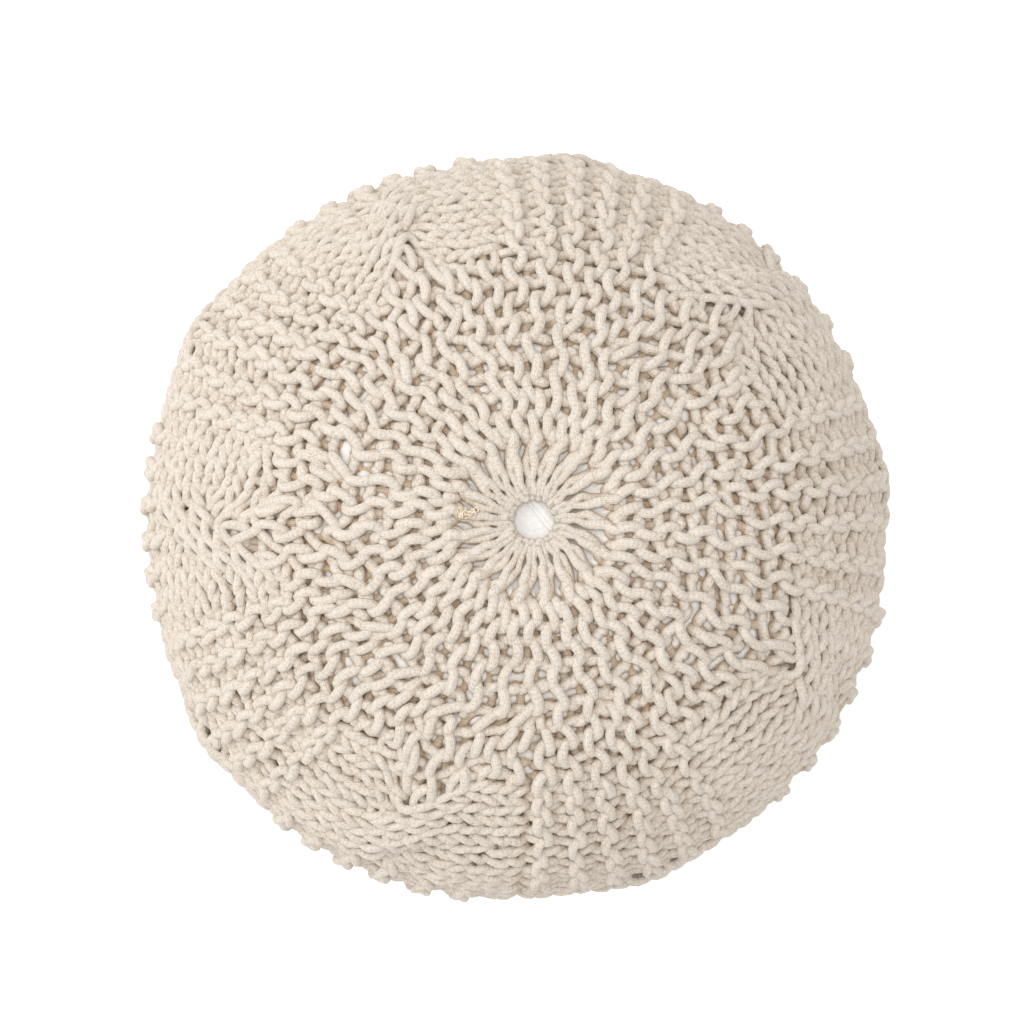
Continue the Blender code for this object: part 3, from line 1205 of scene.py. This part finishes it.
def frayed_end():
    """Small closed curls of fibre, heaped where the cord was cut off near the hole."""
    rng = np.random.default_rng(31)
    curls = []
    for _ in range(FRAY_CURLS):
        turn = np.linspace(0.0, 2.0 * math.pi, CURL_POINTS, endpoint=False)
        turn = turn + rng.uniform(0.0, 6.0)
        size = rng.uniform(*CURL_SIZES)
        flat = rng.uniform(*CURL_FLATNESS) * size * np.sin(turn)
        tilt = rng.uniform(0.0, math.pi)
        out = size * np.cos(turn) * math.cos(tilt) - flat * math.sin(tilt)
        side = size * np.cos(turn) * math.sin(tilt) + flat * math.cos(tilt)
        distance = FRAY_AT[0] + rng.normal(0.0, FRAY_SPREAD[0]) + out
        angle = FRAY_AT[1] + (rng.normal(0.0, FRAY_SPREAD[1]) + side) / FRAY_AT[0]
        height = FRAY_AT[2] + rng.normal(0.0, FRAY_SPREAD[2]) + CURL_RISE * np.sin(turn)
        radii = np.full(CURL_POINTS, CURL_RADIUS * MM)
        curls.append((place(distance, angle, height) * MM, radii))
    return curls


cut_end = edge_object("knitted_cover_cut_end", frayed_end())
sweep_cord(cut_end, CURL_SIDES, loose_cotton)
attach(cut_end, "root")
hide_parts("knitted_cover")
print("cut end triangles:", triangles(cut_end))

# %% [markdown]
# ## The casing
# Under the cover is a bag of white calico, filled with beads. It shows in the hole, where it
# is drawn into a crease, and in the wider gaps, where the beads press it out between the
# cords. A smooth turned shape would sit too deep and look dark. Cloth simulation against
# hundreds of loops would be slow, so each point of the bag is simply moved out as far as the
# cords round it leave room.

# %% How far the bag presses out
# heights off the profile: of the bag under the cords, and those tried where it may press out
CASING_INSET = 12.8
BULGE_LEVELS = (-8.6, -9.3, -10.0, -10.8, -11.6)
BULGE_ZONE = (46.0, 240.0)
CORD_ROOM = 4.6

net = KDTree(len(cord_points))
for number, spot in enumerate(cord_points):
    net.insert(spot, number)
net.balance()


def bag_heights(distance, angles):
    """Heights of a ring of the bag: the highest level that keeps clear of every cord."""
    heights = np.full(len(angles), -CASING_INSET)
    if not BULGE_ZONE[0] < distance < BULGE_ZONE[1]:
        return heights
    waiting = np.ones(len(angles), bool)
    for level in BULGE_LEVELS:
        spots = place(np.full(len(angles), distance), angles, np.full(len(angles), level)) * MM
        for column in np.nonzero(waiting)[0]:
            if net.find(spots[column])[2] > CORD_ROOM * MM:
                heights[column] = level
                waiting[column] = False
    return heights


print("highest level at 100 mm:", bag_heights(100.0, np.linspace(0.0, 6.0, 60)).max())

# %% The crease in the hole
FOLD_POINT = np.array([3.9, 3.2])
FOLD_ACROSS = np.array([0.777, 0.63])
FOLD_ZONE = 60.0
FOLD_REACH = 22.0
CREASE = (2.4, 0.0, 1.2)  # depth, place across the fold and width
SHOULDER = (1.6, 3.0, 2.6)  # height, place and width of the cloth pushed up beside it


def fold_depth(ring):
    """How far a ring of the bag sinks in the crease across the middle of the hole."""
    off = (ring[:, :2] - FOLD_POINT) @ FOLD_ACROSS
    near = bell(np.hypot(ring[:, 0], ring[:, 1]), 0.0, FOLD_REACH)
    return near * (CREASE[0] * bell(off, *CREASE[1:]) - SHOULDER[0] * bell(off, *SHOULDER[1:]))


print("the crease is", CREASE[0], "mm deep")

# %% Rings of the bag, and how much painted brown shade each gets
CASING_COLUMNS = 400
CASING_DISTANCES = np.concatenate([
    np.arange(1.0, 30.0, 1.0),
    np.arange(31.0, 240.0, 2.4),
    np.linspace(242.0, SIDE - 8.0, 44),
])
# painted shade on the calico: browner where only a narrow gap lets light in, on the belt and under
# the hole's edge
NARROW_HEIGHTS = (-10.4, -12.6)
COVER_STARTS = (44.0, 54.0)
BELT_COVER = (0.6, 200.0, 240.0)  # extra shade, where it starts and where it is full
HOLE_SHADE = (0.8, 25.0, 4.5)  # shade, place and width of the ring under the hole's edge


def gap_shade(distances, heights):
    """How much painted brown shade the calico gets, from 0 up: most where only a narrow gap lets
    light in.
    """
    covered = smooth(*COVER_STARTS, distances) + BELT_COVER[0] * smooth(*BELT_COVER[1:], distances)
    narrow = smooth(*NARROW_HEIGHTS, heights) * covered[:, None]
    return narrow + HOLE_SHADE[0] * bell(distances, *HOLE_SHADE[1:])[:, None]


casing_angles = np.linspace(0.0, 2.0 * math.pi, CASING_COLUMNS, endpoint=False)
casing_heights = np.array([bag_heights(d, casing_angles) for d in CASING_DISTANCES])
casing_heights = eased(eased_open(casing_heights).T).T
print(f"{len(CASING_DISTANCES)} rings, up to {casing_heights.max():.1f} mm from the profile")

# %% [markdown]
# ## Calico
# Calico is plain-woven cotton, nearly white. Its threads are far too fine to model, so two
# waves across each other give the weave, noise gives the thicker threads and soft rumples,
# and the same group of painted brown shade as on the cord darkens it where a gap is narrow.

# %% The casing's finish
THREADS = 7000.0  # radians in a metre of cloth
CALICO_TONES = ((0.3, (0.745, 0.72, 0.69)), (0.7, (0.835, 0.815, 0.79)))


def calico_material():
    """Plain-woven white cotton."""
    material, tree, shader = matt_material("white_calico", 0.9)
    spot = tree.nodes.new("ShaderNodeTexCoord").outputs["Object"]
    parts = tree.nodes.new("ShaderNodeSeparateXYZ")
    tree.links.new(spot, parts.inputs["Vector"])
    warp = maths(tree, "SINE", maths(tree, "MULTIPLY", parts.outputs["X"], THREADS))
    weft = maths(tree, "SINE", maths(tree, "MULTIPLY", parts.outputs["Y"], THREADS))
    threads = maths(tree, "MULTIPLY", warp, weft)
    slubs = noise(tree, spot, Scale=420.0, Detail=3.0)
    rumples = noise(tree, spot, Scale=55.0, Detail=2.0)
    relief = weighted(tree, (slubs, 0.5), (threads, 0.12), (rumples, 2.0))
    raised(tree, shader, relief, strength=0.4, distance=0.0008)
    colour = ramped(tree, weighted(tree, (slubs, 1.0), (threads, 0.04)), CALICO_TONES)
    tree.links.new(with_painted_shade(tree, colour), shader.inputs["Base Color"])
    return material


calico = calico_material()
print("calico material:", len(calico.node_tree.nodes), "nodes")


# %% The filled bag
def filled_bag():
    """The bag as rings of points from the top pole to the bottom, closed at both."""
    work = bmesh.new()
    loops = []
    for distance, height in zip(CASING_DISTANCES, casing_heights):
        ring = place(np.full(CASING_COLUMNS, distance), casing_angles, height)
        if distance < FOLD_ZONE:
            ring[:, 2] -= fold_depth(ring)
        loops.append([work.verts.new(Vector(point) * MM) for point in ring])
    for upper, lower in zip(loops, loops[1:]):
        for here in range(CASING_COLUMNS):
            there = (here + 1) % CASING_COLUMNS
            work.faces.new((upper[here], lower[here], lower[there], upper[there]))
    work.faces.new(loops[0])
    work.faces.new(list(reversed(loops[-1])))
    bmesh.ops.recalc_face_normals(work, faces=work.faces)
    mesh = bpy.data.meshes.new("filled_casing")
    work.to_mesh(mesh)
    work.free()
    mesh.shade_smooth()
    mesh.materials.append(calico)
    bag = bpy.data.objects.new("filled_casing", mesh)
    bpy.context.scene.collection.objects.link(bag)
    return bag


casing = filled_bag()
# painted shade on the calico, stored for each point
shade_points(casing.data, gap_shade(CASING_DISTANCES, casing_heights).ravel())
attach(casing, "root")
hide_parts("inner_casing")
print("casing triangles:", triangles(casing))

# %% [markdown]
# ## Floor
# The photograph shows the pouf on plain white. A sheet lit by lamps alone would turn grey in
# the shade of the pouf, so the sheet glows a little: it stays white in the picture and still
# catches a faint shade.

# %% The floor
FLOOR_SIZE = 12.0
PAPER_WHITE = (0.95, 0.95, 0.95, 1.0)
WHITE = (1.0, 1.0, 1.0, 1.0)

bpy.ops.mesh.primitive_plane_add(size=FLOOR_SIZE, location=(0.0, 0.0, 0.0))
floor = bpy.context.object
floor.name = "studio_floor"
paper, _, paper_shader = matt_material("studio_paper", 1.0)
paper_shader.inputs["Base Color"].default_value = PAPER_WHITE
paper_shader.inputs["Emission Color"].default_value = WHITE
paper_shader.inputs["Emission Strength"].default_value = 0.32
floor.data.materials.append(paper)
print("floor:", FLOOR_SIZE, "m square")

# %% [markdown]
# ## Light
# The shadows are soft and fall to the lower right, so one large lamp stands far to the left
# and a second one nearly overhead, and a bright surround fills the rest. A single lamp would
# leave the right side too dark.

# %% The surround and the lamps
SURROUND = 0.71
LAMPS = (
    # name, place, size of the square (m) and power (W)
    ("key", (-2.3, 0.45, 2.1), 1.8, 32.5),
    ("top", (-0.2, 0.2, 3.6), 1.4, 47.0),
)
LAMP_AIM = Vector((0.0, 0.0, 0.2))

world = bpy.data.worlds.new("studio")
bpy.context.scene.world = world
world.use_nodes = True
world.node_tree.nodes["Background"].inputs["Color"].default_value = WHITE
world.node_tree.nodes["Background"].inputs["Strength"].default_value = SURROUND

for name, lamp_place, size, power in LAMPS:
    data = bpy.data.lights.new(name, "AREA")
    data.size = size
    data.energy = power
    lamp = bpy.data.objects.new(name, data)
    lamp.location = lamp_place
    lamp.rotation_euler = (LAMP_AIM - Vector(lamp_place)).to_track_quat("-Z", "Y").to_euler()
    bpy.context.scene.collection.objects.link(lamp)
print("lamps:", [name for name, *_ in LAMPS])

# %% [markdown]
# ## Camera
# The photograph is taken from almost straight above, from far enough away that the far side
# looks as big as the near one. The camera's scale follows from the pouf itself: its radius
# takes up 370 pixels of a picture 1024 pixels wide. A small lean of the view puts the hole
# where the photograph has it, off the middle of the outline.

# %% The camera
PICTURE_WIDTH = 1024.0
RADIUS_PIXELS = 370.0
MIDDLE_PIXELS = (-4.0, 16.5)
CAMERA_LEAN = (-0.0656, -0.0367, 1.0)
CAMERA_FAR = 2.4
SENSOR = 36.0

pixel = RADIUS * MM / RADIUS_PIXELS
aim = Vector((MIDDLE_PIXELS[0] * pixel, MIDDLE_PIXELS[1] * pixel, EQUATOR * MM))
lean = Vector(CAMERA_LEAN).normalized()
up = lean.cross(Vector((1.0, 0.0, 0.0))).normalized()
right = up.cross(lean).normalized()
camera_data = bpy.data.cameras.new("camera")
camera_data.sensor_width = SENSOR
camera_data.lens = SENSOR * CAMERA_FAR / (PICTURE_WIDTH * pixel)
camera = bpy.data.objects.new("camera", camera_data)
axes = Matrix((right, up, lean)).transposed().to_4x4()
camera.matrix_world = Matrix.Translation(aim + lean * CAMERA_FAR) @ axes
bpy.context.scene.collection.objects.link(camera)
bpy.context.scene.camera = camera
bpy.context.scene.view_settings.view_transform = "Standard"
print("lens", round(camera_data.lens, 1))
